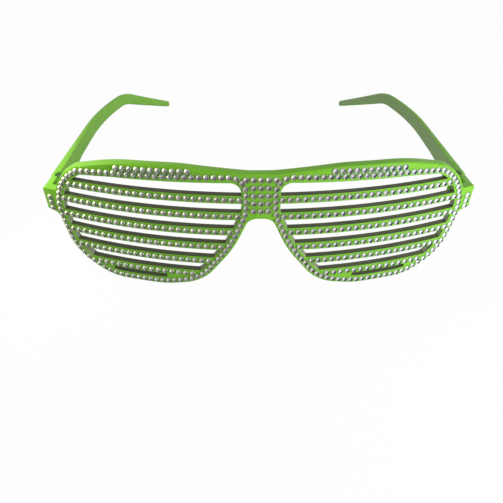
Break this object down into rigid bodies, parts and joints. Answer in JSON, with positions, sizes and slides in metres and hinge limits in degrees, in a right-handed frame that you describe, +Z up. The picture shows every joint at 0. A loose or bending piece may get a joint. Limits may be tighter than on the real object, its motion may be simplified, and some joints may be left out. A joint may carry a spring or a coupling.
{
  "type": "party glasses",
  "caption": "Shutter-style party glasses: a wrapped moulded front with horizontal slats for lenses, folding temples and rows of small round stones.",
  "frame": {"origin": "on the table plane under the middle of the bridge's front surface; the lowest edges of both rims are at Z = 0", "axes": "+X to the wearer's left, +Y back along the temples, away from the front, +Z up"},
  "size_m": [0.1494, 0.138, 0.0473],
  "materials": {
    "green_plastic": "moulded lime-green polystyrene, semi-gloss",
    "screw_steel": "plain turned steel",
    "stone": "silver-backed faceted acrylic"
  },
  "bodies": {
    "front": {"front_frame": "green_plastic", "left_hinge_screw": "screw_steel", "right_hinge_screw": "screw_steel", "left_rim_stones": "stone", "right_rim_stones": "stone", "left_brow_stones": "stone", "right_brow_stones": "stone", "bridge_stones": "stone", "left_endpiece_stones": "stone", "right_endpiece_stones": "stone", "left_slat_1_stones": "stone", "left_slat_2_stones": "stone", "left_slat_3_stones": "stone", "left_slat_4_stones": "stone", "left_slat_5_stones": "stone", "left_slat_6_stones": "stone", "right_slat_1_stones": "stone", "right_slat_2_stones": "stone", "right_slat_3_stones": "stone", "right_slat_4_stones": "stone", "right_slat_5_stones": "stone", "right_slat_6_stones": "stone"},
    "left_arm": {"left_temple": "green_plastic"},
    "right_arm": {"right_temple": "green_plastic"}
  },
  "joints": [
    {"name": "left_temple_fold", "type": "hinge", "parent": "front", "child": "left_arm", "pos_m": [0.0711, 0.025, 0.0287], "axis": [0, 0, 1], "range_deg": [0, 86]},
    {"name": "right_temple_fold", "type": "hinge", "parent": "front", "child": "right_arm", "pos_m": [-0.0711, 0.025, 0.0287], "axis": [0, 0, -1], "range_deg": [0, 75]}
  ]
}
